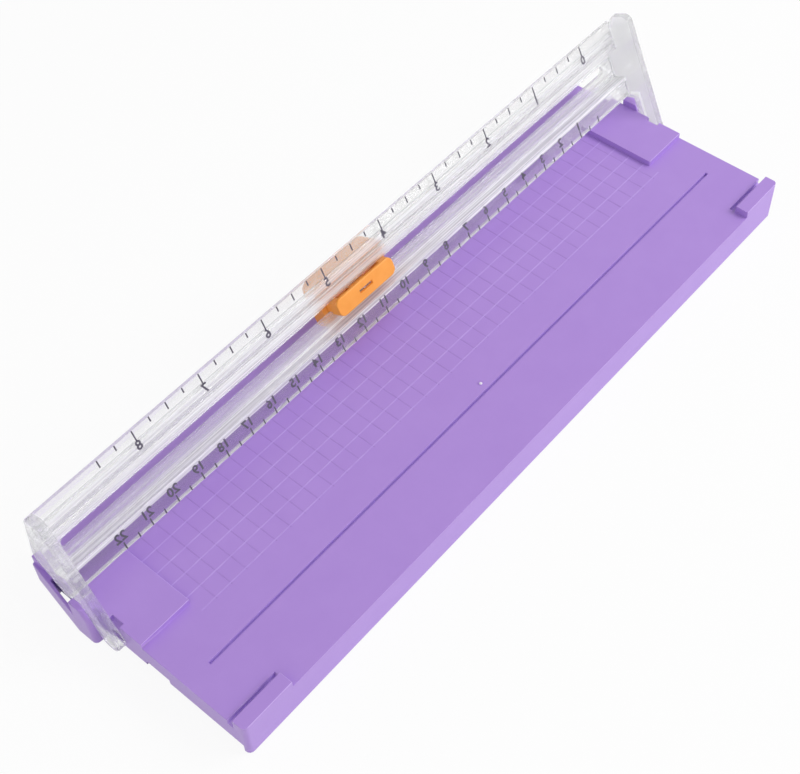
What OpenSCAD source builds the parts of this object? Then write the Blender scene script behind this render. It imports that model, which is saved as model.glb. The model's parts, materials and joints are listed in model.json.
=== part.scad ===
/* [Bed] */
// Length of the bed's deck from end to end
bed_l = 254; // [240:1:320]
// Depth of the bed from its front edge to its back edge
bed_d = 84; // [80:0.5:110]
// Height of the deck's top above the floor
deck_h = 13; // [12:0.5:18]
// Thickness of the deck
deck_t = 2.6; // [2.2:0.1:3.5]
// Thickness of the bed's walls and ribs
wall_t = 2; // [1.4:0.1:3]
// Space left under the front and back walls
wall_lift = 0.8; // [0.4:0.1:1]
// Space left under the end skirts
skirt_lift = 4; // [2:0.5:6]
// Extra space under the notch in each end skirt
skirt_notch_h = 2; // [1:0.5:3]
// Length of the notch in each end skirt
skirt_notch_l = 9; // [5:1:14]
// Distance of the cutting groove from the front edge
groove_in = 21.7; // [20:0.1:26]
// Width of the cutting groove
groove_w = 1; // [0.8:0.1:1.6]
// Depth of the cutting groove
groove_depth = 1.4; // [1.4:0.1:2.1]
// Distance of each groove end from the end of the bed
groove_end = 8.6; // [6:0.2:12]

/* [Paper guides] */
// Width of the paper channel between the end blocks
channel_w = 218; // [212:1:222]
// Height of the end blocks above the deck
block_h = 2; // [1:0.2:3]
// Distance of the blocks' front edge from the bed's front edge
block_in = 38.7; // [36:0.1:44]
// Depth of the end blocks from front to back
block_d = 28.8; // [24:0.2:34]
// Height of the front corner lips above the deck
lip_h = 2.5; // [1.5:0.1:4]
// Width of the front corner lips from front to back
lip_d = 4.5; // [3:0.1:4.6]
// Width of the slot behind each lip
lip_slot = 2.2; // [0.6:0.1:2.6]
// Depth of the slot behind each lip
lip_slot_depth = 2; // [0.6:0.1:2]

/* [Hinge] */
// Distance of the hinge line behind the cutting groove
hinge_back = 27.6; // [26:0.1:29]
// Depth of the hinge line below the deck's top
hinge_drop = 4.7; // [4.6:0.1:5.6]
// Radius of the ear's hinge stub
stub_r = 2.2; // [1.6:0.1:2.6]
// Length of the hinge stub
stub_l = 6; // [4:0.5:8]
// Radius of the bed's hinge boss
boss_r = 4.2; // [3.8:0.1:4.4]
// Depth of the notch in the block's end above the hinge
lead_in = 1.5; // [1:0.1:3]
// Angle that the rail is opened by
open_angle = 115; // [85:1:118]

/* [Rail] */
// Gap for paper between the closed rail and the deck
paper_gap = 1; // [0.6:0.1:1.6]
// Distance from the blade slot to the centimetre edge
cm_reach = 12.4; // [10.5:0.1:13]
// Distance from the blade slot to the inch edge
inch_reach = 15.5; // [14.5:0.1:16.8]
// Thickness of the rail's flanges
flange_t = 1.5; // [1:0.1:2]
// Thickness of the rail's channel walls
rail_wall = 1.5; // [1.2:0.1:2]
// Inner width of the rail's channel
tunnel_w = 11; // [9.6:0.1:12]
// Inner height of the rail's channel
tunnel_h = 4.3; // [4:0.1:5]
// Width of the slot that the blade runs in
slot_w = 3; // [2.8:0.1:3.4]
// Distance of each slot end from the end of the bed
slot_end = 3.5; // [3:0.1:6]
// Width of the stiffening rib on the inch flange
rib_w = 1; // [0.6:0.1:1.6]
// Height of the stiffening rib on the inch flange
rib_h = 0.9; // [0.5:0.1:1.4]
// Distance of the stiffening rib from the blade slot
rib_off = 10.5; // [9.5:0.1:12]

/* [Ears] */
// Thickness of the clear end ears
ear_t = 3; // [2.4:0.1:4]
// Half the width of the ear's arm, and the radius of its hinge end
arm_r = 3.5; // [3:0.1:3.8]
// Radius of the ear's crown over the rail
crown_r = 5.5; // [5:0.1:6.5]
// Height of the crown's centre above the closed rail's underside
crown_up = 3; // [2:0.1:4]
// Radius of the ear's shoulder behind the rail
shoulder_r = 2.4; // [1.6:0.1:3]
// How far the ear reaches past the rail's centimetre edge
ear_behind = 0.8; // [0.5:0.1:1.5]
// How far the ear reaches past the rail's inch edge
ear_ahead = 2.4; // [1.5:0.1:4]
// Radius of the ear's front tip
tip_r = 1; // [0.6:0.1:1.6]
// Depth of the tip's centre below the closed rail's underside
tip_drop = 3; // [2.4:0.1:3.4]
// Radius of the ear's lower front corner
corner_r = 2.6; // [1.8:0.1:3]
// Depth of the pocket in each ear that holds the rail's end
pocket_depth = 1.4; // [0.8:0.1:1.8]

/* [End cheeks] */
// Thickness of the cheek's wall
cheek_t = 1; // [0.8:0.1:1.6]
// Distance of the cheek's front end behind the hinge line
cheek_behind = 6.1; // [5.8:0.1:7]
// Height of the cheek's wall above the floor
cheek_h = 9.6; // [9:0.1:10.5]
// How far the cheek's back end stands out from the bed
cheek_back = 0.7; // [0.4:0.1:2]
// Length of the cheek's seat along the bed's depth
spacer_d = 8; // [6:0.5:9]
// Height of the rail stop above the deck
stop_h = 4; // [2.4:0.1:4.4]
// Depth of the rail stop's top from front to back
stop_d = 5; // [3.6:0.1:5.2]
// Radius of the cheek's two pegs
peg_r = 1.2; // [0.9:0.1:1.4]
// Length of the cheek's pegs
peg_l = 5; // [3:0.5:8]

/* [Carriage] */
// Length of the shoe under the rail
shoe_l = 25; // [24:0.5:32]
// Width of the shoe under the rail
shoe_w = 6.2; // [5.6:0.1:9]
// Radius of the shoe's corners
shoe_r = 2.2; // [1:0.1:2.6]
// Thickness of the shoe's sole around the blade slit
sole_t = 1; // [0.8:0.1:1.2]
// Width of the shoe's two pads that run under the rail's roof
pad_w = 4; // [3.8:0.1:5]
// Length of the thumb grip
grip_l = 28.5; // [27.5:0.5:34]
// Width of the thumb grip
grip_w = 17; // [15:0.5:18]
// Height of the thumb grip
grip_h = 6.3; // [6:0.1:7.5]
// Radius of the grip's corners seen from above
grip_r = 3; // [1.5:0.1:4]
// Thickness of the grip's top around the button
grip_top = 1.2; // [1:0.1:1.6]
// Length of the grip's inner chamber
chamber_l = 18.4; // [17.5:0.1:19]
// Width of the grip's inner chamber
chamber_w = 11; // [10:0.1:12]
// Thickness of the plate that closes the chamber
plate_t = 1; // [0.8:0.1:1.2]
// Length of each post between shoe and grip
post_l = 3; // [2:0.1:3.4]
// Height of the shoe's posts inside the grip
post_up = 3.6; // [2:0.1:4]
// Place of the carriage along the rail from the middle
carriage_x = -3.5; // [-100:0.5:100]
// How far the carriage's middle can run to each side
carriage_run = 110; // [80:1:110]

/* [Blade unit] */
// How far the button and blade travel
press = 2.5; // [1.5:0.1:2.5]
// Height of the button's top above the grip
button_up = 1.7; // [1:0.1:3]
// Width of the rim that keeps the button in the grip
button_rim = 1.1; // [0.8:0.1:1.3]
// Thickness of the button's rim
rim_t = 1.2; // [0.8:0.1:1.2]
// Length of the blade holder along the rail
holder_l = 6; // [5.4:0.1:6.4]
// Thickness of the blade holder
holder_t = 1.8; // [1.5:0.1:2]
// Depth of the holder's seat in the button
holder_seat = 2.4; // [1.5:0.1:3]
// Length of the blade along the rail
blade_l = 4.8; // [4:0.1:5]
// Thickness of the blade
blade_t = 0.4; // [0.3:0.05:0.6]
// Height of the blade from its point to its back
blade_h = 7.4; // [6.5:0.1:8]
// Height of the blade's pointed tip
tip_h = 2.4; // [1.5:0.1:3]
// Height of the resting blade's point above the shoe's underside
tip_rest = 0.4; // [0.2:0.1:0.8]
// Radius of the pin that holds the blade
pin_r = 0.5; // [0.4:0.05:0.6]
// Radius of the return springs at the middle of their wire
coil_r = 1.6; // [1.3:0.05:1.7]
// Radius of the spring wire
wire_r = 0.2; // [0.15:0.01:0.25]
// Number of turns in each return spring
coil_turns = 5; // [4:1:5]

/* [Scales] */
// Length of the centimetre scale in whole centimetres
cm_count = 22; // [20:1:22]
// Length of the inch scale in quarter inches
quarter_count = 34; // [32:1:34]
// Width of a printed mark
mark_w = 0.45; // [0.3:0.05:0.6]
// Thickness of the printed ink
ink_t = 0.06; // [0.04:0.01:0.1]
// Length of the whole centimetre marks
cm_mark = 2.4; // [2:0.1:3]
// Length of the half centimetre marks
half_cm_mark = 1.7; // [1:0.1:2]
// Length of the whole inch marks
inch_mark = 3.9; // [3:0.1:5]
// Length of the half inch marks
half_inch_mark = 2.4; // [1.5:0.1:3]
// Length of the quarter inch marks
quarter_mark = 1.7; // [1:0.1:2]
// Shift of the inch scale's zero from the centimetre scale's zero
inch_shift = 1.5; // [0:0.1:3]

/* [Feet and fits] */
// Radius of the rubber feet
foot_r = 5; // [4:0.1:6]
// Thickness of the rubber feet
foot_t = 2; // [1.6:0.1:2.6]
// Depth of the seat that holds each foot
foot_seat = 0.8; // [0.4:0.1:1]
// Distance of the feet from the bed's ends
foot_end = 15; // [12:0.5:24]
// Distance of the feet from the front and back edges
foot_in = 9.5; // [9:0.5:14]
// Clearance of seated and turning fits
fit = 0.05; // [0.03:0.01:0.08]
// Clearance between sliding and passing faces
run_gap = 0.3; // [0.2:0.05:0.4]

/* [Hidden] */
$fn = 64;

purple = [0.70, 0.56, 0.87];
orange = [0.99, 0.65, 0.27];
clear = [0.90, 0.92, 0.94, 0.4];
ink = [0.25, 0.25, 0.30];
steel = [0.75, 0.76, 0.78];
rubber = [0.16, 0.16, 0.17];

// Small overlap that makes cuts and joins clean
eps = 0.01;
half_l = bed_l / 2;
front_y = -bed_d / 2;
back_y = bed_d / 2;
groove_y = front_y + groove_in;
block_y = front_y + block_in;
deck_under = deck_h - deck_t;
block_x = channel_w / 2;

hinge_y = groove_y + hinge_back;
hinge_h = deck_h - hinge_drop;
ear_x = half_l + run_gap;
// How far the open rail leans back from upright
lean = open_angle - 90;
cheek_x = ear_x + ear_t + cheek_t;
cheek_y = hinge_y + cheek_behind;
cheek_seat_y = back_y - spacer_d;
stop_top = deck_h + stop_h;
arm_room = arm_r + run_gap;
stop_back = hinge_y + arm_room / cos(lean) + (stop_top - hinge_h) * tan(lean) + stop_d;
cheek_peg_levels = [wall_lift + 2 * peg_r, cheek_h - 2 * peg_r];

// The rail is described closed and then swung open about the hinge line
rail_z = deck_h + paper_gap;
cm_edge = groove_y + cm_reach;
inch_edge = groove_y - inch_reach;
hat_top = tunnel_h + rail_wall;
rail_half = ear_x + pocket_depth - fit;
slot_half = half_l - slot_end;

// Levels of the carriage above the closed rail's underside
shoe_top = tunnel_h - run_gap;
grip_z = hat_top + run_gap;
grip_end = grip_z + grip_h;
chamber_end = grip_end - grip_top;
plate_top = grip_z + plate_t;
post_x = (chamber_l + shoe_l) / 4;
post_w = slot_w - 2 * fit - run_gap;
post_end = grip_z + post_up;
well_l = holder_l + 2 * run_gap;
well_w = holder_t + 2 * run_gap;

// Levels of the blade unit above the closed rail's underside
rim_top = chamber_end - fit;
rim_z = rim_top - rim_t;
button_end = grip_end + button_up;
button_l = chamber_l - 2 * run_gap - 2 * button_rim;
button_w = chamber_w - 2 * run_gap - 2 * button_rim;
holder_z = sole_t + run_gap + press;
holder_end = rim_z + holder_seat;
blade_end = tip_rest + blade_h;
pin_z = (holder_z + blade_end) / 2;
spring_x = (holder_l + button_l + 2 * button_rim) / 4;
spring_end = button_end - 1.5 * grip_top;
inch = 25.4;
half_scale = 5 * cm_count;

// Slab with rounded upright corners, centred, standing on z = 0
module slab(l, w, h, r) {
    translate([-l / 2 + r, -w / 2, 0]) cube([l - 2 * r, w, h]);
    translate([-l / 2, -w / 2 + r, 0]) cube([l, w - 2 * r, h]);
    for (x = [-1, 1], y = [-1, 1])
        translate([x * (l / 2 - r), y * (w / 2 - r), 0]) cylinder(r = r, h = h);
}

// Bar centred on x = 0 and on the given y
module bar(l, y, w, z, h) {
    translate([-l / 2, y - w / 2, z]) cube([l, w, h]);
}

// Stands an outline drawn in y and z along x, from x = 0
module along_x(l) {
    rotate([90, 0, 90]) linear_extrude(l) children();
}

// Right-hand piece as drawn, or its mirror image on the left
module on_side(side) {
    if (side > 0) children();
    else mirror([1, 0, 0]) children();
}

// Swings what is drawn closed to the open pose
module opened() {
    translate([0, hinge_y, hinge_h]) rotate([-open_angle, 0, 0])
        translate([0, -hinge_y, -hinge_h]) children();
}

// Origin for the carriage: blade line, on the closed rail's underside
module at_carriage() {
    opened() translate([carriage_x, groove_y, rail_z]) children();
}

// Angle of the outward normal of the tangent on the right of two circles
function tangent_angle(a, ra, b, rb) =
    atan2(b[1] - a[1], b[0] - a[0]) - acos((ra - rb) / norm(b - a));
// Point of a circle at an angle
function rim_point(c, r, angle) = c + r * [cos(angle), sin(angle)];

// Outline around circles given as [centre, radius], counter-clockwise
module fin_outline(c) {
    polygon([
        for (i = [0 : len(c) - 1], end = [0, 1])
            let (
                a = c[i],
                b = c[(i + 1) % len(c)],
                angle = tangent_angle(a[0], a[1], b[0], b[1])
            )
            end == 0 ? rim_point(a[0], a[1], angle) : rim_point(b[0], b[1], angle)
    ]);
    for (round_end = c)
        translate(round_end[0]) circle(round_end[1]);
}

// Cross-section of the rail in y and z, grown by a clearance
module rail_section(grow = 0) {
    half_tunnel = tunnel_w / 2;
    translate([inch_edge - grow, rail_z - grow])
        square([inch_reach - half_tunnel + 2 * grow, flange_t + 2 * grow]);
    translate([groove_y + half_tunnel - grow, rail_z - grow])
        square([cm_reach - half_tunnel + 2 * grow, flange_t + 2 * grow]);
    for (y = [groove_y - half_tunnel - rail_wall, groove_y + half_tunnel])
        translate([y - grow, rail_z - grow])
            square([rail_wall + 2 * grow, hat_top + 2 * grow]);
    translate([groove_y - half_tunnel - rail_wall - grow, rail_z + tunnel_h - grow])
        square([tunnel_w + 2 * rail_wall + 2 * grow, rail_wall + 2 * grow]);
    translate([groove_y - rib_off - rib_w / 2 - grow, rail_z])
        square([rib_w + 2 * grow, flange_t + rib_h + grow]);
}

// Seat of one foot, hanging from the deck
module foot_boss() {
    translate([0, 0, foot_t - foot_seat])
        cylinder(r = foot_r + wall_t, h = deck_under - foot_t + foot_seat + eps);
}

// One end of the bed: skirt, paper block, lip, hinge boss and cheek seat
module bed_end() {
    translate([half_l - wall_t, front_y, skirt_lift]) cube([wall_t, bed_d, deck_h - skirt_lift]);
    translate([block_x, block_y, deck_h - eps]) cube([half_l - block_x, block_d, block_h + eps]);
    translate([block_x, front_y, deck_h - eps]) cube([half_l - block_x, lip_d, lip_h + eps]);
    translate([half_l - stub_l - wall_t, hinge_y, hinge_h]) rotate([0, 90, 0])
        cylinder(r = boss_r, h = stub_l + wall_t);
    translate([half_l - stub_l - wall_t, hinge_y - boss_r, hinge_h])
        cube([stub_l + wall_t, 2 * boss_r, deck_under - hinge_h + eps]);
    translate([half_l - peg_l - wall_t, cheek_seat_y, wall_lift])
        cube([peg_l + wall_t, spacer_d, deck_under - wall_lift + eps]);
}

// What is cut from one end of the bed
module bed_end_cuts() {
    // Notch in the skirt's lower edge
    translate([half_l - wall_t - eps, block_y - skirt_notch_l, skirt_lift - eps])
        cube([wall_t + 2 * eps, skirt_notch_l, skirt_notch_h + eps]);
    // Slot behind the lip
    translate([block_x, front_y + lip_d, deck_h - lip_slot_depth])
        cube([half_l - block_x + eps, lip_slot, lip_slot_depth + eps]);
    // Hinge bore, and the lead-in above it
    translate([half_l - stub_l - fit, hinge_y, hinge_h]) rotate([0, 90, 0])
        cylinder(r = stub_r + fit, h = stub_l + 2 * fit);
    translate([half_l - lead_in, hinge_y - stub_r, deck_h])
        cube([lead_in + eps, 2 * stub_r, block_h + eps]);
    // Peg bores of the cheek
    for (z = cheek_peg_levels)
        translate([half_l - peg_l - fit, back_y - spacer_d / 2, z]) rotate([0, 90, 0])
            cylinder(r = peg_r + fit, h = peg_l + 2 * fit);
}

module bed() {
    inner_l = bed_l - 2 * wall_t + 2 * eps;
    inner_d = bed_d - 2 * wall_t + 2 * eps;
    color(purple) difference() {
        union() {
            bar(bed_l, 0, bed_d, deck_under, deck_t);
            for (y = [front_y + wall_t / 2, back_y - wall_t / 2])
                bar(bed_l, y, wall_t, wall_lift, deck_h - wall_lift);
            bar(inner_l, groove_y, groove_w + 2 * wall_t, deck_under - wall_t, wall_t + eps);
            for (x = [-1 : 1])
                translate([x * bed_l / 4 - wall_t / 2, -inner_d / 2, skirt_lift])
                    cube([wall_t, inner_d, deck_under - skirt_lift + eps]);
            for (x = [-1, 1], y = [-1, 1])
                translate([x * (half_l - foot_end), y * (back_y - foot_in), 0]) foot_boss();
            for (side = [-1, 1])
                on_side(side) bed_end();
        }
        bar(bed_l - 2 * groove_end, groove_y, groove_w, deck_h - groove_depth, groove_depth + eps);
        for (x = [-1, 1], y = [-1, 1])
            translate([x * (half_l - foot_end), y * (back_y - foot_in), foot_t - foot_seat - eps])
                cylinder(r = foot_r + fit, h = foot_seat + eps);
        for (side = [-1, 1])
            on_side(side) bed_end_cuts();
    }
}

// Outside of the cheek's wall at a place along the bed's depth
function cheek_line(y) =
    half_l + cheek_back + (cheek_x - half_l - cheek_back) * (back_y - y) / (back_y - stop_back);

// Room that the open ear takes, in y and z
module open_ear_room() {
    head_start = hinge_y - cm_edge - ear_behind - run_gap;
    translate([hinge_y, hinge_h]) rotate(-lean) {
        translate([-arm_room, 0]) square([2 * arm_room, bed_d]);
        translate([-bed_d, head_start]) square([2 * bed_d, bed_d]);
    }
}

// Flared cheek beside one end, with the stop that the open ear leans on
module end_cheek(side) {
    color(purple) on_side(side) {
        translate([0, 0, wall_lift]) linear_extrude(cheek_h - wall_lift) difference() {
            polygon([
                [half_l, cheek_y],
                [cheek_x, cheek_y],
                [cheek_x, stop_back],
                [half_l + cheek_back, back_y],
                [half_l, back_y]
            ]);
            polygon([
                [half_l - eps, stop_back],
                [cheek_x - cheek_t, stop_back],
                [cheek_line(cheek_seat_y) - cheek_t, cheek_seat_y],
                [half_l - eps, cheek_seat_y]
            ]);
        }
        translate([half_l, 0, 0]) along_x(cheek_x - half_l) difference() {
            translate([cheek_y, wall_lift]) square([stop_back - cheek_y, stop_top - wall_lift]);
            open_ear_room();
        }
        for (z = cheek_peg_levels)
            translate([half_l - peg_l, back_y - spacer_d / 2, z]) rotate([0, 90, 0])
                cylinder(r = peg_r, h = peg_l + eps);
    }
}

// Rubber foot under one corner
module foot(x, y) {
    color(rubber) translate([x * (half_l - foot_end), y * (back_y - foot_in), 0])
        cylinder(r = foot_r, h = foot_t);
}

module rail() {
    color(clear) opened() difference() {
        translate([-rail_half, 0, 0]) along_x(2 * rail_half) rail_section();
        bar(2 * slot_half - slot_w, groove_y, slot_w, rail_z + tunnel_h - eps, rail_wall + 2 * eps);
        for (x = [-1, 1])
            translate([x * (slot_half - slot_w / 2), groove_y, rail_z + tunnel_h - eps])
                cylinder(d = slot_w, h = rail_wall + 2 * eps);
    }
}

// Ear's outline on the closed rail: the arm from the hinge and the head over the rail
module ear_outline() {
    arm_end = [[cm_edge + ear_behind - arm_r, hinge_h], arm_r];
    fin_outline([[[hinge_y, hinge_h], arm_r], arm_end]);
    fin_outline([
        arm_end,
        [[cm_edge + ear_behind - shoulder_r, rail_z + shoulder_r], shoulder_r],
        [[groove_y, rail_z + crown_up], crown_r],
        [[inch_edge - ear_ahead + tip_r, rail_z - tip_drop], tip_r],
        [[inch_edge - ear_ahead + corner_r, hinge_h - arm_r + corner_r], corner_r]
    ]);
}

// Clear ear with its hinge stub and the pocket for the rail's end
module ear(side) {
    color(clear) opened() on_side(side) {
        difference() {
            translate([ear_x, 0, 0]) along_x(ear_t) ear_outline();
            translate([ear_x - eps, 0, 0]) along_x(pocket_depth + eps) rail_section(fit);
        }
        translate([half_l - stub_l, hinge_y, hinge_h]) rotate([0, 90, 0])
            cylinder(r = stub_r, h = stub_l + run_gap + eps);
    }
}

// One printed mark on the rail's underside, running in from an edge
module mark(x, edge, inward, l) {
    translate([x - mark_w / 2, inward > 0 ? edge : edge - l, rail_z - ink_t]) cube([mark_w, l, ink_t]);
}

module cm_scale() {
    color(ink) opened() for (i = [0 : 2 * cm_count])
        mark(half_scale - 5 * i, cm_edge, -1, i % 2 == 0 ? cm_mark : half_cm_mark);
}

module inch_scale() {
    color(ink) opened() for (i = [0 : quarter_count])
        mark(
            half_scale + inch_shift - i * inch / 4, inch_edge, 1,
            i % 4 == 0 ? inch_mark : i % 2 == 0 ? half_inch_mark : quarter_mark
        );
}

// Flat runner under the rail, with the slit for the blade and two pads that carry posts
module carriage_shoe() {
    color(orange) at_carriage() {
        difference() {
            slab(shoe_l, shoe_w, sole_t, shoe_r);
            bar(blade_l + 2 * run_gap, 0, blade_t + 2 * run_gap, -eps, sole_t + 2 * eps);
        }
        for (x = [-post_x, post_x])
            translate([x, 0, 0]) {
                bar(post_l, 0, pad_w, sole_t - eps, shoe_top - sole_t + eps);
                bar(post_l, 0, post_w, shoe_top - eps, post_end - shoe_top + eps);
            }
    }
}

// Thumb grip over the rail, hollow below the button
module thumb_grip() {
    color(orange) at_carriage() difference() {
        translate([0, 0, grip_z]) slab(grip_l, grip_w, grip_h, grip_r);
        bar(chamber_l, 0, chamber_w, grip_z - eps, chamber_end - grip_z + eps);
        bar(button_l + 2 * run_gap, 0, button_w + 2 * run_gap, chamber_end - eps, grip_top + 2 * eps);
        for (x = [-post_x, post_x])
            translate([x, 0, 0])
                bar(post_l + 2 * fit, 0, post_w + 2 * fit, grip_z - eps, post_up + fit + eps);
    }
}

// Plate that closes the grip's chamber and carries the springs
module chamber_plate() {
    color(orange) at_carriage() difference() {
        bar(chamber_l - 2 * fit, 0, chamber_w - 2 * fit, grip_z, plate_t);
        bar(well_l, 0, well_w, grip_z - eps, plate_t + 2 * eps);
        for (x = [-post_x, post_x])
            translate([x, 0, 0])
                bar(post_l + 2 * fit, 0, post_w + 2 * fit, grip_z - eps, plate_t + 2 * eps);
    }
}

// Point on the wire's surface: ring along the coil, side around the wire
coil_rings = 8;
wire_sides = 6;
coil_low = plate_top + fit + wire_r;
coil_rise = spring_end - 2 * fit - wire_r - coil_low;
coil_count = coil_rings * coil_turns;
coil_pitch = coil_rise / coil_turns;
function coil_point(ring, side) =
    let (
        turn = 360 * ring / coil_rings,
        around = 360 * side / wire_sides,
        r = coil_r + wire_r * cos(around)
    )
    [r * cos(turn), r * sin(turn), coil_low + coil_rise * ring / coil_count + wire_r * sin(around)];
echo(spring_gap = coil_pitch - 2 * wire_r);

// One return spring as an unbroken coiled wire
module coil() {
    polyhedron(
        points = [for (ring = [0 : coil_count], side = [0 : wire_sides - 1]) coil_point(ring, side)],
        faces = concat(
            [for (ring = [0 : coil_count - 1], side = [0 : wire_sides - 1])
                let (a = ring * wire_sides + side, b = ring * wire_sides + (side + 1) % wire_sides)
                [a, b, b + wire_sides]],
            [for (ring = [0 : coil_count - 1], side = [0 : wire_sides - 1])
                let (a = ring * wire_sides + side, b = ring * wire_sides + (side + 1) % wire_sides)
                [a, b + wire_sides, a + wire_sides]],
            [[for (side = [wire_sides - 1 : -1 : 0]) side]],
            [[for (side = [0 : wire_sides - 1]) coil_count * wire_sides + side]]
        )
    );
}

module return_springs() {
    color(steel) at_carriage() for (x = [-spring_x, spring_x])
        translate([x, 0, 0]) coil();
}

// Thumb button with a rim that stays under the grip's top
module press_button() {
    color(orange) at_carriage() difference() {
        union() {
            translate([0, 0, rim_z]) slab(button_l, button_w, button_end - rim_z, button_rim);
            bar(button_l + 2 * button_rim, 0, button_w + 2 * button_rim, rim_z, rim_t);
        }
        for (x = [-spring_x, spring_x])
            translate([x, 0, rim_z - eps])
                cylinder(r = coil_r + wire_r + run_gap, h = spring_end - rim_z + eps);
        bar(holder_l + 2 * fit, 0, holder_t + 2 * fit, rim_z - eps, holder_seat + fit + eps);
    }
}

// Stem that carries the blade down through the rail's slot
module blade_holder() {
    color(orange) at_carriage() difference() {
        bar(holder_l, 0, holder_t, holder_z, holder_end - holder_z);
        bar(blade_l + 2 * fit, 0, blade_t + 2 * fit, holder_z - eps, blade_end - holder_z + fit + eps);
        translate([0, -holder_t, pin_z]) rotate([-90, 0, 0])
            cylinder(r = pin_r + fit, h = 2 * holder_t);
    }
}

// Small steel blade with a pointed lower end
module blade() {
    color(steel) at_carriage() difference() {
        translate([0, blade_t / 2, tip_rest]) rotate([90, 0, 0]) linear_extrude(blade_t) polygon([
            [0, 0],
            [blade_l / 2, tip_h],
            [blade_l / 2, blade_h],
            [-blade_l / 2, blade_h],
            [-blade_l / 2, tip_h]
        ]);
        translate([0, -blade_t, pin_z]) rotate([-90, 0, 0]) cylinder(r = pin_r + fit, h = 2 * blade_t);
    }
}

// Pin through the holder and the blade
module blade_pin() {
    color(steel) at_carriage() translate([0, -holder_t / 2, pin_z]) rotate([-90, 0, 0])
        cylinder(r = pin_r, h = holder_t);
}

bed();
end_cheek(-1);  // left_end_cheek
end_cheek(1);  // right_end_cheek
foot(-1, -1);  // foot_front_left
foot(1, -1);  // foot_front_right
foot(-1, 1);  // foot_back_left
foot(1, 1);  // foot_back_right
rail();
ear(-1);  // left_ear
ear(1);  // right_ear
cm_scale();
inch_scale();
carriage_shoe();
thumb_grip();
chamber_plate();
return_springs();
press_button();
blade_holder();
blade();
blade_pin();
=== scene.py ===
import bpy
import bmesh
import json
import math
from mathutils import Euler, Matrix, Vector


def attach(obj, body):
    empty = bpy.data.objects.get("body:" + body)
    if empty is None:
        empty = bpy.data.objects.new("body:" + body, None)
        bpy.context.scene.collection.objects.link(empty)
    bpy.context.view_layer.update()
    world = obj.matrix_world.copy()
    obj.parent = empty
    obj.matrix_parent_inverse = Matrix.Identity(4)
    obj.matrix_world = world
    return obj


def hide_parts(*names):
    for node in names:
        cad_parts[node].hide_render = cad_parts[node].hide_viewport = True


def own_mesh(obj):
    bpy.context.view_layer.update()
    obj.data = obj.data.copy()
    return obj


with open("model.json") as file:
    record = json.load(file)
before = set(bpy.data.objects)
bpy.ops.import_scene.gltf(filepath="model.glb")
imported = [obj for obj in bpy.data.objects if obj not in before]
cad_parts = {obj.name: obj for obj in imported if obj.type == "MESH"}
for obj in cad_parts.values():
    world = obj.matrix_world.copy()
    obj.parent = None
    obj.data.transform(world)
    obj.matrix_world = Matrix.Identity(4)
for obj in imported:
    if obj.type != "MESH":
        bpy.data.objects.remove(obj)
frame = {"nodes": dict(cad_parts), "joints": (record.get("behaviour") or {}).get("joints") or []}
nodes = frame["nodes"]
joints = {joint["name"]: joint for joint in frame["joints"]}
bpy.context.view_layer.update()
mm = 0.001
print("frame loaded:", len(nodes), "nodes")

# the rail stands open in the frame: a place on the shut rail is swung open by this turn
hinge = joints["rail_hinge"]
hingeAt = Matrix.Translation(Vector(hinge["pos_m"]))
openAngle = math.radians(hinge["range_deg"][1])
swing = hingeAt @ Matrix.Rotation(-openAngle, 4, "X") @ hingeAt.inverted()
closing = swing.inverted()


# small helpers for working as by hand

copyLimits = {"mergeGap": 2e-6, "flatAngle": 0.4}  # metres, degrees
smoothing = {"angle": 35, "weight": 100}


def deselectAll():
    if bpy.context.mode != "OBJECT":
        bpy.ops.object.mode_set(mode="OBJECT")
    bpy.ops.object.select_all(action="DESELECT")


def makeActive(piece):
    deselectAll()
    piece.select_set(True)
    bpy.context.view_layer.objects.active = piece


def applyPlace():
    bpy.ops.object.transform_apply(location=True, rotation=True, scale=True)


# leaves the piece in edit mode, with the wanted edges or faces selected
def pickParts(piece, kind, wanted):
    makeActive(piece)
    bpy.ops.object.mode_set(mode="EDIT")
    bpy.ops.mesh.select_mode(type=kind)
    bpy.ops.mesh.select_all(action="DESELECT")
    cage = bmesh.from_edit_mesh(piece.data)
    parts = cage.edges if kind == "EDGE" else cage.faces
    picked = [part for part in parts if wanted(part)]
    for part in picked:
        part.select_set(True)
    bmesh.update_edit_mesh(piece.data)
    return len(picked)


def softenEdges(piece, wanted, width, segments):
    picked = pickParts(piece, "EDGE", wanted)
    if picked:
        bpy.ops.mesh.bevel(offset=width * mm, segments=segments, affect="EDGES", clamp_overlap=True)
    bpy.ops.object.mode_set(mode="OBJECT")
    print("  ", piece.name, "softened", picked, "edges")


def smoothPiece(piece):
    makeActive(piece)
    bpy.ops.object.shade_smooth_by_angle(angle=math.radians(smoothing["angle"]))
    even = piece.modifiers.new("evenNormals", "WEIGHTED_NORMAL")  # big faces stay flat beside soft edges
    even.keep_sharp = True
    even.weight = smoothing["weight"]
    bpy.ops.object.modifier_apply(modifier="evenNormals")


def markPale(piece, shareOf):
    pale = piece.data.attributes.new("paintedLightShare", "FLOAT", "FACE")
    for face in piece.data.polygons:
        pale.data[face.index].value = shareOf(face)


def cleanCopy(nodeName, pieceName):
    piece = bpy.data.objects.new(pieceName, nodes[nodeName].data.copy())
    bpy.context.scene.collection.objects.link(piece)
    makeActive(piece)
    bpy.ops.object.mode_set(mode="EDIT")
    bpy.ops.mesh.select_all(action="SELECT")
    bpy.ops.mesh.remove_doubles(threshold=copyLimits["mergeGap"])  # the frame's triangles come loose
    bpy.ops.mesh.dissolve_limited(angle_limit=math.radians(copyLimits["flatAngle"]))
    bpy.ops.object.mode_set(mode="OBJECT")
    return piece


def dress(piece, material):
    piece.data.materials.clear()
    piece.data.materials.append(material)


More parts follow.
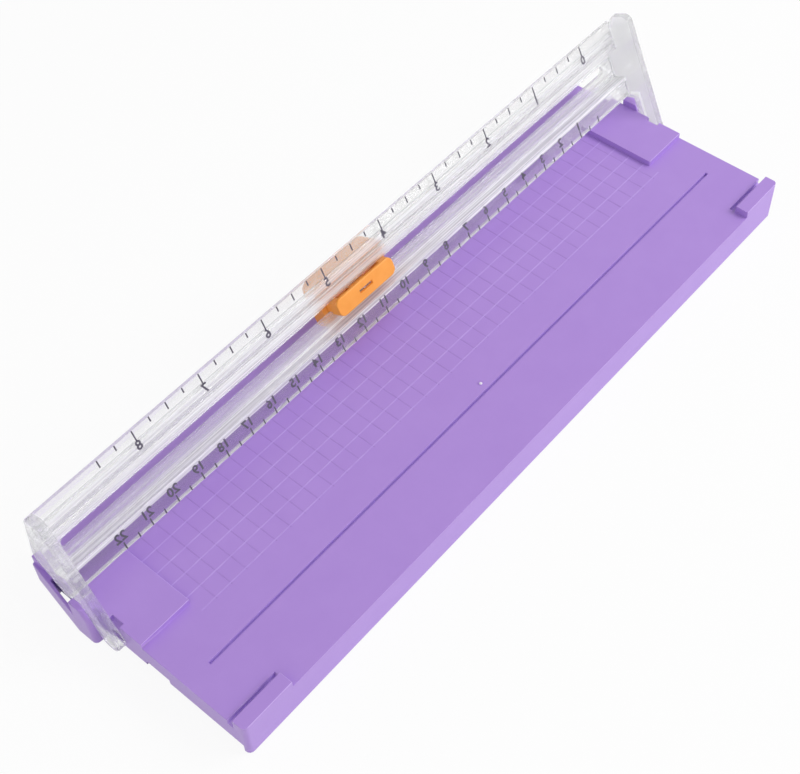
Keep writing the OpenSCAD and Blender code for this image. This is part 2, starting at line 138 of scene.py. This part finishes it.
def settle(piece, body, slotName, material, *stoodFor):
    dress(piece, material)
    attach(piece, body)
    if stoodFor:
        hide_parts(*stoodFor)


def isSharp(edge, degrees=30):
    return len(edge.link_faces) == 2 and edge.calc_face_angle(0) > math.radians(degrees)


def bothAt(edge, axis, place, slack=0.02):
    return all(abs(v.co[axis] - place * mm) < slack * mm for v in edge.verts)


def bothAtEnds(edge, place):
    return bothAt(edge, 0, place) or bothAt(edge, 0, -place)


def allAbove(edge, height):
    return all(v.co.z > height * mm for v in edge.verts)


def riseOf(edge):
    return abs(edge.verts[0].co.z - edge.verts[1].co.z)


# steps that the materials share

noiseRough = 0.55
noiseSpan = (0.3, 0.7)  # where most of a noise lies


def startMaterial(name):
    material = bpy.data.materials.new(name)
    material.use_nodes = True
    tree = material.node_tree
    shader = tree.nodes["Principled BSDF"]
    coords = tree.nodes.new("ShaderNodeTexCoord")
    return material, tree, shader, coords.outputs["Object"]


def addMapping(tree, source, socket, value):
    mapping = tree.nodes.new("ShaderNodeMapping")
    mapping.inputs[socket].default_value = value
    tree.links.new(source, mapping.inputs["Vector"])
    return mapping


def addNoise(tree, source, scale, detail):
    noise = tree.nodes.new("ShaderNodeTexNoise")
    noise.inputs["Scale"].default_value = scale
    noise.inputs["Detail"].default_value = detail
    noise.inputs["Roughness"].default_value = noiseRough
    tree.links.new(source, noise.inputs["Vector"])
    return noise.outputs["Fac"]


def addRamp(tree, source, low, high):
    ramp = tree.nodes.new("ShaderNodeValToRGB")
    for stop, place, colour in zip(ramp.color_ramp.elements, noiseSpan, (low, high)):
        stop.position = place
        stop.color = (*colour, 1)
    tree.links.new(source, ramp.inputs["Fac"])
    return ramp.outputs["Color"]


def addSpread(tree, source, span, result):
    spread = tree.nodes.new("ShaderNodeMapRange")
    for socket, value in zip(("From Min", "From Max", "To Min", "To Max"), (*span, *result)):
        spread.inputs[socket].default_value = value
    tree.links.new(source, spread.inputs["Value"])
    return spread.outputs["Result"]


# each of the two inputs is a number or another node's output
def addMath(tree, operation, first, second, clamp=False):
    step = tree.nodes.new("ShaderNodeMath")
    step.operation = operation
    step.use_clamp = clamp
    for socket, value in zip(step.inputs, (first, second)):
        if isinstance(value, float):
            socket.default_value = value
        else:
            tree.links.new(value, socket)
    return step.outputs[0]


def addBump(tree, shader, source, look):
    bump = tree.nodes.new("ShaderNodeBump")
    bump.inputs["Strength"].default_value = look["relief"]
    bump.inputs["Distance"].default_value = look["depth"] * mm
    tree.links.new(source, bump.inputs["Height"])
    tree.links.new(bump.outputs["Normal"], shader.inputs["Normal"])


def addBands(tree, source, bands):
    first, last = bands[0][0], bands[-1][0]
    across = addSpread(tree, source, (first * mm, last * mm), (0.0, 1.0))
    ramp = tree.nodes.new("ShaderNodeValToRGB")
    stops = ramp.color_ramp.elements
    for spot, level in bands[1:-1]:
        stops.new((spot - first) / (last - first)).color = (level, level, level, 1)
    for stop, band in ((stops[0], bands[0]), (stops[-1], bands[-1])):
        stop.color = (band[1], band[1], band[1], 1)
    tree.links.new(across, ramp.inputs["Fac"])
    return ramp.outputs["Color"]


def addPaleEdge(tree, colour, paintedLightColour):
    share = tree.nodes.new("ShaderNodeAttribute")  # painted highlights on rounded edges that face the lamps, and painted light against the shade in the groove and lip slots
    share.attribute_name = "paintedLightShare"
    mix = tree.nodes.new("ShaderNodeMixRGB")
    mix.inputs["Color2"].default_value = (*paintedLightColour, 1)
    tree.links.new(share.outputs["Fac"], mix.inputs["Fac"])
    tree.links.new(colour, mix.inputs["Color1"])
    return mix.outputs["Color"]


# moulded plastics, printed ink and rubber: a faint cloud of colour and a fine grain

def mouldedPlastic(name, look):
    material, tree, shader, place = startMaterial(name)
    cloud = addNoise(tree, place, look["cloud"], look["cloudDetail"])
    colour = addRamp(tree, cloud, look["deep"], look["pale"])
    # painted highlights and painted light, mixed in where a face is marked for them
    if "edge" in look:
        colour = addPaleEdge(tree, colour, look["edge"])
    tree.links.new(colour, shader.inputs["Base Color"])
    grain = addNoise(tree, place, look["grain"], look["grainDetail"])
    rough = addSpread(tree, grain, noiseSpan, (look["glossy"], look["dull"]))
    tree.links.new(rough, shader.inputs["Roughness"])
    addBump(tree, shader, grain, look)
    shader.inputs["IOR"].default_value = look["ior"]
    return material


mouldedLook = {"cloudDetail": 3.0, "grainDetail": 2.0, "depth": 0.04, "ior": 1.5}
# edge is the colour of the painted highlights on lit edges and of the painted light in the groove and lip
# slots
lavenderLook = dict(mouldedLook, deep=(0.437, 0.264, 0.722), pale=(0.453, 0.277, 0.738),
                    edge=(0.66, 0.48, 0.93), cloud=90.0, grain=2600.0, glossy=0.34, dull=0.46, relief=0.10)
# lit and shaded copies of the lavender: rows painted lighter, columns painted darker as shade
paintedLitRowLook = dict(lavenderLook, deep=(0.48, 0.305, 0.77), pale=(0.54, 0.365, 0.82), cloud=220.0)  # rows painted lighter: painted highlight
paintedShadeColumnLook = dict(lavenderLook, deep=(0.39, 0.23, 0.66), pale=(0.44, 0.27, 0.72), cloud=220.0)
# near-white tip colour: a painted highlight
gateHighlightLook = dict(lavenderLook, deep=(0.86, 0.80, 0.95), pale=(0.95, 0.91, 1.0), cloud=900.0,
                glossy=0.15, dull=0.2)
orangeLook = dict(mouldedLook, deep=(0.93, 0.345, 0.045), pale=(1.0, 0.40, 0.07), cloud=140.0, grain=3200.0,
                  glossy=0.32, dull=0.44, relief=0.10)
inkLook = dict(mouldedLook, deep=(0.075, 0.068, 0.095), pale=(0.12, 0.11, 0.145), cloud=500.0, grain=4200.0,
               glossy=0.5, dull=0.7, relief=0.08)
rubberLook = dict(mouldedLook, deep=(0.022, 0.022, 0.024), pale=(0.040, 0.040, 0.042), cloud=300.0,
                  grain=3000.0, glossy=0.72, dull=0.88, relief=0.25)

lavender = mouldedPlastic("lavenderPlastic", lavenderLook)
paintedLitLavender = mouldedPlastic("lavenderRowLinesPaintedLit", paintedLitRowLook)
paintedShadeLavender = mouldedPlastic("lavenderColumnLinesPaintedShade", paintedShadeColumnLook)
gateTipPaintedHighlight = mouldedPlastic("gateTipPaintedHighlight", gateHighlightLook)
orange = mouldedPlastic("orangePlastic", orangeLook)
ink = mouldedPlastic("scaleInk", inkLook)
rubber = mouldedPlastic("footRubber", rubberLook)


# clear plastic with drawn streaks: bands of milk and grey lie along the rail, and its right end is whiter;
# the milk at the channel walls and edges is painted light, and the grey on the centimetre flange is painted
# shade

def clearPlastic(name, look):
    material, tree, shader, place = startMaterial(name)
    flat = addMapping(tree, place, "Rotation", closing.to_euler())  # lays the rail flat, blade slot at zero
    flat.inputs["Location"].default_value = closing.translation - Vector(look["slotAt"]) * mm
    drawn = addMapping(tree, flat.outputs["Vector"], "Scale", look["stretch"])
    streak = addNoise(tree, drawn.outputs["Vector"], look["streak"], look["streakDetail"])
    apart = tree.nodes.new("ShaderNodeSeparateXYZ")
    tree.links.new(flat.outputs["Vector"], apart.inputs["Vector"])
    along, across = apart.outputs["X"], apart.outputs["Y"]
    rightEnd = (look["paleFrom"] * mm, look["paleTo"] * mm)

    endMilk = addSpread(tree, along, rightEnd, (0.0, look["paleMilk"]))
    milkAndPaintedLight = addMath(tree, "MAXIMUM", addBands(tree, across, look["bands"]), endMilk)
    uneven = addSpread(tree, streak, noiseSpan, (look["streakLow"], look["streakHigh"]))
    milkyAndPaintedLight = addMath(tree, "MULTIPLY", milkAndPaintedLight, uneven, clamp=True)
    tree.links.new(addMath(tree, "SUBTRACT", 1.0, milkyAndPaintedLight), shader.inputs["Transmission Weight"])
    tree.links.new(addSpread(tree, milkyAndPaintedLight, (0.0, 1.0), (look["alpha"], 1.0)), shader.inputs["Alpha"])

    endTint = addSpread(tree, along, rightEnd, (look["endGrey"], 1.0))
    tint = tree.nodes.new("ShaderNodeVectorMath")
    tint.operation = "MULTIPLY"
    tree.links.new(addRamp(tree, streak, look["deep"], look["pale"]), tint.inputs[0])
    tree.links.new(addMath(tree, "MAXIMUM", addBands(tree, across, look["tintAndPaintedShade"]), endTint), tint.inputs[1])
    tree.links.new(tint.outputs["Vector"], shader.inputs["Base Color"])

    haze = addNoise(tree, place, look["haze"], look["hazeDetail"])
    rough = addSpread(tree, haze, noiseSpan, (look["glossy"], look["dull"]))
    tree.links.new(rough, shader.inputs["Roughness"])
    addBump(tree, shader, streak, look)
    shader.inputs["IOR"].default_value = look["ior"]
    return material


clearLook = {
    "deep": (0.92, 0.925, 0.93), "pale": (0.97, 0.97, 0.975), "alpha": 0.28, "ior": 1.49,
    "haze": 700.0, "hazeDetail": 3.0, "glossy": 0.02, "dull": 0.07, "relief": 0.04, "depth": 0.05,
    "slotAt": (0.0, -20.3, 14.0), "stretch": (0.01, 1.0, 1.0), "streak": 900.0, "streakDetail": 4.0,
    "streakLow": 0.6, "streakHigh": 1.4,
    "bands": [  # milk across the rail, mm from the slot; at the channel walls and edges it is painted light
        (-15.5, 0.12), (-15.2, 0.06), (-11.3, 0.05),  # inch flange
        (-11.0, 0.55), (-9.3, 0.55), (-9.0, 0.04), (-7.6, 0.04), (-7.3, 0.5), (-5.6, 0.5),
        (-5.4, 0.10), (-5.0, 0.10), (-4.8, 0.55), (-3.7, 0.55), (-3.5, 0.12), (-3.1, 0.12), (-2.9, 0.55),
        (-1.9, 0.55), (-1.6, 0.03), (1.6, 0.03), (1.9, 0.36),  # slot
        (5.0, 0.42), (5.4, 0.72), (6.9, 0.72),
        (7.3, 0.16), (12.15, 0.16), (12.3, 0.8), (12.4, 0.8)],  # centimetre flange and the painted highlight on its edge
    "tintAndPaintedShade": [  # tint across the rail, in the same way; the dark tint on the centimetre flange is painted shade of the deck behind it
        (-15.5, 1.0), (7.0, 1.0), (7.4, 0.4), (12.0, 0.4), (12.2, 1.0), (12.4, 1.0)],
    "paleFrom": 30.0, "paleTo": 120.0, "paleMilk": 0.30, "endGrey": 0.5}
earLook = dict(clearLook, deep=(0.74, 0.75, 0.78), pale=(0.88, 0.88, 0.90), alpha=0.45,
               stretch=(1.0, 1.0, 0.25), streak=260.0, paleMilk=0.0,
               bands=[(-18.0, 0.15), (28.0, 0.15)], tintAndPaintedShade=[(-18.0, 1.0), (28.0, 1.0)])

clear = clearPlastic("clearRailPlastic", clearLook)
earClear = clearPlastic("clearEarPlastic", earLook)


# ground steel, with scratches drawn out one way

def groundSteel(name, look):
    material, tree, shader, place = startMaterial(name)
    drawn = addMapping(tree, place, "Scale", look["stretch"])
    scratch = addNoise(tree, drawn.outputs["Vector"], look["scratch"], look["scratchDetail"])
    tree.links.new(addRamp(tree, scratch, look["deep"], look["pale"]), shader.inputs["Base Color"])
    rough = addSpread(tree, scratch, noiseSpan, (look["glossy"], look["dull"]))
    tree.links.new(rough, shader.inputs["Roughness"])
    addBump(tree, shader, scratch, look)
    shader.inputs["Metallic"].default_value = 1.0
    return material


steelLook = {"deep": (0.55, 0.56, 0.58), "pale": (0.70, 0.71, 0.73), "stretch": (1.0, 1.0, 0.08),
             "scratch": 2400.0, "scratchDetail": 4.0, "glossy": 0.22, "dull": 0.40,
             "relief": 0.15, "depth": 0.02}
steel = groundSteel("bladeSteel", steelLook)
print("materials made")


# nodes whose solid is already the right shape

plainNodes = {
    "cm_scale": ink, "inch_scale": ink, "chamber_plate": orange, "blade_holder": orange,
    "blade": steel, "blade_pin": steel, "foot_front_left": rubber, "foot_front_right": rubber,
    "foot_back_left": rubber, "foot_back_right": rubber,
}
for nodeName, material in plainNodes.items():
    dress(nodes[nodeName], material)


# bed, with the soft edges of a moulding

bedSizes = {
    "deck": 13.0, "blockTop": 15.0, "lipTop": 15.5, "halfLength": 127.0, "front": -42.0, "back": 42.0,
    "channelHalf": 109.0, "groove": -20.3, "grooveHalf": 0.5, "lipBack": -37.5, "slotBack": -35.3,
    "slack": 0.05, "edge": 0.45, "segments": 3, "shortest": 1.4,
    "cornerEdge": 1.6, "cornerSegments": 4, "uprightShare": 0.8,
    "paleEdge": 0.8, "groovePaintedLight": 0.5, "slotPaintedLight": 0.8,  # shares of the painted light colour: painted highlights on lit edges, painted light in the groove and slots
    "paintedLightReach": 2.5, "grooveFrom": 0.1, "slotFrom": 0.5,  # depths below the deck
    "flatFrom": 0.985, "upFrom": 0.1, "lightFrom": 0.15}  # parts of a face's normal


def bedTopEdge(edge):
    if not isSharp(edge) or not edge.is_convex or edge.calc_length() < bedSizes["shortest"] * mm:
        return False
    if bothAt(edge, 2, bedSizes["blockTop"]) or bothAt(edge, 2, bedSizes["lipTop"]):
        return True
    rim = bothAtEnds(edge, bedSizes["halfLength"])
    rim = rim or bothAt(edge, 1, bedSizes["front"]) or bothAt(edge, 1, bedSizes["back"])
    return rim and bothAt(edge, 2, bedSizes["deck"])


def bedCornerEdge(edge):
    upright = riseOf(edge) > bedSizes["uprightShare"] * edge.calc_length()
    atCorner = bothAtEnds(edge, bedSizes["halfLength"]) and bothAt(edge, 1, bedSizes["front"])
    return isSharp(edge) and upright and atCorner


# how far a face of the bed goes towards the painted light colour: rounded edges facing the lamps get a
# painted highlight, and the groove and lip slots get painted light against their shade
def bedPaleShare(face):
    at = face.center / mm
    depth = bedSizes["deck"] - at.z
    if depth > bedSizes["paintedLightReach"]:
        return 0.0
    inGroove = abs(at.y - bedSizes["groove"]) < bedSizes["grooveHalf"] + bedSizes["slack"]
    if inGroove and depth > bedSizes["grooveFrom"]:
        return bedSizes["groovePaintedLight"]
    inSlot = bedSizes["lipBack"] - bedSizes["slack"] < at.y < bedSizes["slotBack"] + bedSizes["slack"]
    if inSlot and depth > bedSizes["slotFrom"] and abs(at.x) > bedSizes["channelHalf"]:
        return bedSizes["slotPaintedLight"]
    rounded = max(abs(part) for part in face.normal) < bedSizes["flatFrom"]
    upward = face.normal.z > bedSizes["upFrom"]
    toLight = face.normal.x > bedSizes["lightFrom"] or face.normal.y < -bedSizes["lightFrom"]
    return bedSizes["paleEdge"] if rounded and upward and toLight else 0.0


bedShell = cleanCopy("bed", "bedShell")
softenEdges(bedShell, bedCornerEdge, bedSizes["cornerEdge"], bedSizes["cornerSegments"])
softenEdges(bedShell, bedTopEdge, bedSizes["edge"], bedSizes["segments"])
smoothPiece(bedShell)
# painted highlights on the edges that face the lamps, painted light in the groove and lip slots
markPale(bedShell, bedPaleShare)
settle(bedShell, "base", "lavender_plastic", lavender, "bed")
print("bed done")


# flared end cheeks, each with the stop that the open ear leans on

cheekSizes = {"edge": 0.3, "segments": 3, "shortest": 0.4, "seatClear": 127.1, "outside": 131.3,
              "frontEdge": 1.6, "frontSegments": 6, "steep": 1.0}


def cheekFrontEdge(edge):
    steep = riseOf(edge) > cheekSizes["steep"] * mm
    return isSharp(edge) and edge.is_convex and steep and bothAtEnds(edge, cheekSizes["outside"])


def cheekOpenEdge(edge):
    offSeat = all(abs(v.co.x) > cheekSizes["seatClear"] * mm for v in edge.verts)
    return isSharp(edge) and edge.is_convex and offSeat and edge.calc_length() > cheekSizes["shortest"] * mm


for sideName in ("left", "right"):
    cheek = cleanCopy(sideName + "_end_cheek", sideName + "EndCheek")
    softenEdges(cheek, cheekFrontEdge, cheekSizes["frontEdge"], cheekSizes["frontSegments"])
    softenEdges(cheek, cheekOpenEdge, cheekSizes["edge"], cheekSizes["segments"])
    smoothPiece(cheek)
    settle(cheek, "base", "lavender_plastic", lavender, sideName + "_end_cheek")
print("cheeks done")


# clear rail and its ears

railSizes = {"edge": 0.22, "segments": 2, "sharpAngle": 50, "longFrom": 230.0}
earSizes = {"edge": 0.7, "segments": 4, "outside": 130.3}


def railLongEdge(edge):
    return isSharp(edge, railSizes["sharpAngle"]) and edge.calc_length() > railSizes["longFrom"] * mm


def earOuterEdge(edge):
    return isSharp(edge) and bothAtEnds(edge, earSizes["outside"])


railBar = cleanCopy("rail", "railBar")
softenEdges(railBar, railLongEdge, railSizes["edge"], railSizes["segments"])
smoothPiece(railBar)
settle(railBar, "rail", "clear_plastic", clear, "rail")
for sideName in ("left", "right"):
    ear = cleanCopy(sideName + "_ear", sideName + "Ear")
    softenEdges(ear, earOuterEdge, earSizes["edge"], earSizes["segments"])
    smoothPiece(ear)
    settle(ear, "rail", "clear_plastic", earClear, sideName + "_ear")
print("rail and ears done")


# printed numbers on the underside, read through the clear plastic from above

numberSizes = {"level": 13.97, "thick": 0.03, "swell": 0.024, "curveSteps": 3, "capitalShare": 0.70}
cmNumbering = {"first": 1, "last": 22, "zero": 110.0, "step": 10.0, "place": -12.1, "height": 2.9}
inchNumbering = {"first": 0, "last": 8, "zero": 111.5, "step": 25.4, "place": -30.7, "height": 2.9}


def printNumber(words, x, y, height):
    deselectAll()
    bpy.ops.object.text_add()
    number = bpy.context.active_object
    number.data.body = words
    number.data.size = height * mm / numberSizes["capitalShare"]  # capitals are shorter than the type size
    number.data.align_x = "CENTER"
    number.data.align_y = "CENTER"
    number.data.resolution_u = numberSizes["curveSteps"]
    number.data.extrude = numberSizes["thick"] * mm
    number.data.offset = numberSizes["swell"] * number.data.size
    bpy.ops.object.convert(target="MESH")
    number = bpy.context.active_object
    flat = Matrix.Translation(Vector((x, y, numberSizes["level"])) * mm) @ Matrix.Rotation(math.pi, 4, "Z")
    number.matrix_world = swing @ flat
    applyPlace()
    return number


def printNumbers(pieceName, row):
    numbers = [printNumber(str(k), row["zero"] - row["step"] * k, row["place"], row["height"])
               for k in range(row["first"], row["last"] + 1)]
    deselectAll()
    for number in numbers:
        number.select_set(True)
    bpy.context.view_layer.objects.active = numbers[0]
    bpy.ops.object.join()
    joined = bpy.context.active_object
    joined.name = pieceName
    joined.data.name = pieceName
    settle(joined, "rail", "scale_ink", ink)


printNumbers("cmNumbers", cmNumbering)
printNumbers("inchNumbers", inchNumbering)
print("numbers printed")


# fine grid of the paper bed: columns run from front to back, rows from end to end; the rows carry a painted
# highlight, the columns painted shade

gridSizes = {"pitch": 5.95, "columns": 36, "rows": 5, "wide": 0.42, "high": 0.05, "sunk": 0.03, "edge": 0.03,
             "columnFront": -8.0, "columnBack": 24.0, "rowHalf": 108.6, "rowFront": -7.3, "rowProud": 0.01}


def gridBars(pieceName, size, centre, step, count, material):
    deselectAll()
    bpy.ops.mesh.primitive_cube_add(size=1, location=Vector(centre) * mm)
    bars = bpy.context.active_object
    bars.name = pieceName
    bars.scale = Vector(size) * mm
    applyPlace()
    softenEdges(bars, lambda e: allAbove(e, bedSizes["deck"]), gridSizes["edge"], 1)
    repeat = bars.modifiers.new("repeat", "ARRAY")
    repeat.use_relative_offset = False
    repeat.use_constant_offset = True
    repeat.constant_offset_displace = Vector(step) * mm
    repeat.count = count
    makeActive(bars)
    bpy.ops.object.modifier_apply(modifier="repeat")
    settle(bars, "base", "lavender_plastic", material)


gridTall = gridSizes["high"] + gridSizes["sunk"]
gridZ = bedSizes["deck"] + (gridSizes["high"] - gridSizes["sunk"]) / 2
columnLong = gridSizes["columnBack"] - gridSizes["columnFront"]
columnMid = (gridSizes["columnBack"] + gridSizes["columnFront"]) / 2
firstColumn = gridSizes["pitch"] - bedSizes["channelHalf"]
gridBars("gridColumns", (gridSizes["wide"], columnLong, gridTall), (firstColumn, columnMid, gridZ),
         (gridSizes["pitch"], 0, 0), gridSizes["columns"], paintedShadeLavender)
gridBars("gridRows", (2 * gridSizes["rowHalf"], gridSizes["wide"], gridTall + gridSizes["rowProud"]),
         (0, gridSizes["rowFront"], gridZ + gridSizes["rowProud"] / 2),
         (0, gridSizes["pitch"], 0), gridSizes["rows"], paintedLitLavender)
print("grid done")


# moulding gate mark beside the groove: a dished ring in the darker lavender as painted shade, and the tip in
# it painted near white as a highlight

gateRing = {"x": 0.5, "y": -17.2, "radius": 0.95, "high": 0.12, "sides": 28, "rim": 0.3, "dish": 0.1,
            "edge": 0.05, "segments": 2, "sharpAngle": 20, "upFrom": 0.9}
gatePoint = {"x": 0.35, "y": -17.35, "radius": 0.5, "high": 0.3, "sides": 24, "edge": 0.22, "segments": 4}


def addDisc(pieceName, disc):
    deselectAll()
    bpy.ops.mesh.primitive_cylinder_add(vertices=disc["sides"], radius=disc["radius"] * mm,
                                        depth=2 * disc["high"] * mm,  # half of it is sunk in the deck
                                        location=Vector((disc["x"], disc["y"], bedSizes["deck"])) * mm)
    piece = bpy.context.active_object
    piece.name = pieceName
    applyPlace()
    return piece


gate = addDisc("gateMark", gateRing)
pickParts(gate, "FACE", lambda f: f.normal.z > gateRing["upFrom"])
bpy.ops.mesh.inset(thickness=gateRing["rim"] * mm, depth=0)
bpy.ops.transform.translate(value=(0, 0, -gateRing["dish"] * mm))
softenEdges(gate, lambda e: isSharp(e, gateRing["sharpAngle"]) and allAbove(e, bedSizes["deck"]),
            gateRing["edge"], gateRing["segments"])
smoothPiece(gate)
# the ring takes the darker lavender: painted shade
settle(gate, "base", "lavender_plastic", paintedShadeLavender)

gateTip = addDisc("gateTip", gatePoint)
softenEdges(gateTip, lambda e: isSharp(e) and allAbove(e, bedSizes["deck"]),
            gatePoint["edge"], gatePoint["segments"])
smoothPiece(gateTip)
settle(gateTip, "base", "lavender_plastic", gateTipPaintedHighlight)
print("gate mark done")


# carriage: runner under the rail, grip and thumb button behind it

carriageSizes = {"shoeEdge": 0.35, "gripEdge": 0.8, "buttonEdge": 0.6, "segments": 3, "shortest": 0.1,
                 "slack": 0.02}


def closedZ(vert):
    return (closing @ vert.co).z / mm


def levelOf(nodeName, pick):
    return pick(closedZ(v) for v in nodes[nodeName].data.vertices)


# pick is min or max: the lowest or the highest end, as on the shut rail, gets soft edges
def softCarriage(nodeName, pieceName, body, pick, width):
    level = levelOf(nodeName, pick)

    def endEdge(edge):
        atLevel = all(abs(closedZ(v) - level) < carriageSizes["slack"] for v in edge.verts)
        longEnough = edge.calc_length() > carriageSizes["shortest"] * mm
        return isSharp(edge) and edge.is_convex and atLevel and longEnough

    piece = cleanCopy(nodeName, pieceName)
    softenEdges(piece, endEdge, width, carriageSizes["segments"])
    smoothPiece(piece)
    settle(piece, body, "orange_plastic", orange, nodeName)


softCarriage("carriage_shoe", "carriageRunner", "carriage", min, carriageSizes["shoeEdge"])
softCarriage("thumb_grip", "thumbGrip", "carriage", max, carriageSizes["gripEdge"])
softCarriage("press_button", "thumbButton", "cutter", max, carriageSizes["buttonEdge"])

# return springs, which press together against the chamber plate as the button goes in; the copy here keeps
# the frame's shape
springLow = levelOf("return_springs", min)
springHigh = levelOf("return_springs", max)
springPair = cleanCopy("return_springs", "springPair")
smoothPiece(springPair)
settle(springPair, "carriage", "blade_steel", steel, "return_springs")
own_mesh(springPair)
print("carriage done")


# studio: pale floor, white surround, soft lamps

studio = {"floorSize": 6, "floorTone": (0.90, 0.90, 0.90), "floorGlow": 0.92, "surround": 0.43,
          "keyPower": 9.0, "keySize": 0.7, "keyAt": (0.66, -0.68, 0.78),
          "fillPower": 2.0, "fillSize": 0.9, "fillAt": (-0.7, -0.5, 0.6), "aim": (0.0, 0.0, 0.02)}


def seenRays(tree):
    rays = tree.nodes.new("ShaderNodeLightPath").outputs
    seen = addMath(tree, "MAXIMUM", rays["Is Camera Ray"], rays["Is Glossy Ray"])
    return addMath(tree, "MAXIMUM", seen, rays["Is Transmission Ray"])


# dull where it catches shadows, nearly white where it is seen
def paleFloor():
    material = bpy.data.materials.new("paleFloor")
    material.use_nodes = True
    tree = material.node_tree
    tree.nodes.clear()
    out = tree.nodes.new("ShaderNodeOutputMaterial")
    mix = tree.nodes.new("ShaderNodeMixShader")
    dull = tree.nodes.new("ShaderNodeBsdfDiffuse")
    white = tree.nodes.new("ShaderNodeEmission")
    dull.inputs["Color"].default_value = (*studio["floorTone"], 1)
    white.inputs["Strength"].default_value = 1.0
    tree.links.new(addMath(tree, "MULTIPLY", seenRays(tree), studio["floorGlow"]), mix.inputs[0])
    tree.links.new(dull.outputs[0], mix.inputs[1])
    tree.links.new(white.outputs[0], mix.inputs[2])
    tree.links.new(mix.outputs[0], out.inputs["Surface"])
    return material


deselectAll()
bpy.ops.mesh.primitive_plane_add(size=studio["floorSize"])
floor = bpy.context.active_object
floor.name = "studioFloor"
dress(floor, paleFloor())

world = bpy.data.worlds.new("whiteSurround")
bpy.context.scene.world = world
world.use_nodes = True
surround = world.node_tree.nodes["Background"]
surround.inputs["Color"].default_value = (1, 1, 1, 1)
glow = addSpread(world.node_tree, seenRays(world.node_tree), (0.0, 1.0), (studio["surround"], 1.0))
world.node_tree.links.new(glow, surround.inputs["Strength"])


def softLamp(name, place, power, size):
    deselectAll()
    bpy.ops.object.light_add(type="AREA", location=place)
    lamp = bpy.context.active_object
    lamp.name = name
    lamp.data.energy = power
    lamp.data.size = size
    aim = Vector(studio["aim"]) - Vector(place)
    lamp.rotation_euler = aim.to_track_quat("-Z", "Y").to_euler()


softLamp("keyLamp", studio["keyAt"], studio["keyPower"], studio["keySize"])
softLamp("fillLamp", studio["fillAt"], studio["fillPower"], studio["fillSize"])
bpy.context.scene.view_settings.view_transform = "Standard"
print("studio done")


# camera at the photograph's angle

view = {"place": (-0.21425, -0.18409, 0.36648), "azimuth": 46.99, "down": 52.53, "roll": -2.97,
        "lens": 66.23, "sensor": 36, "nearest": 0.01}
deselectAll()
bpy.ops.object.camera_add(location=view["place"])
camera = bpy.context.active_object
tilt = Euler((math.radians(90 - view["down"]), 0, math.radians(-view["azimuth"]))).to_matrix()
camera.rotation_euler = (tilt @ Matrix.Rotation(math.radians(view["roll"]), 3, "Z")).to_euler()
camera.data.sensor_width = view["sensor"]
camera.data.lens = view["lens"]
camera.data.clip_start = view["nearest"]
bpy.context.scene.camera = camera
print("camera set")
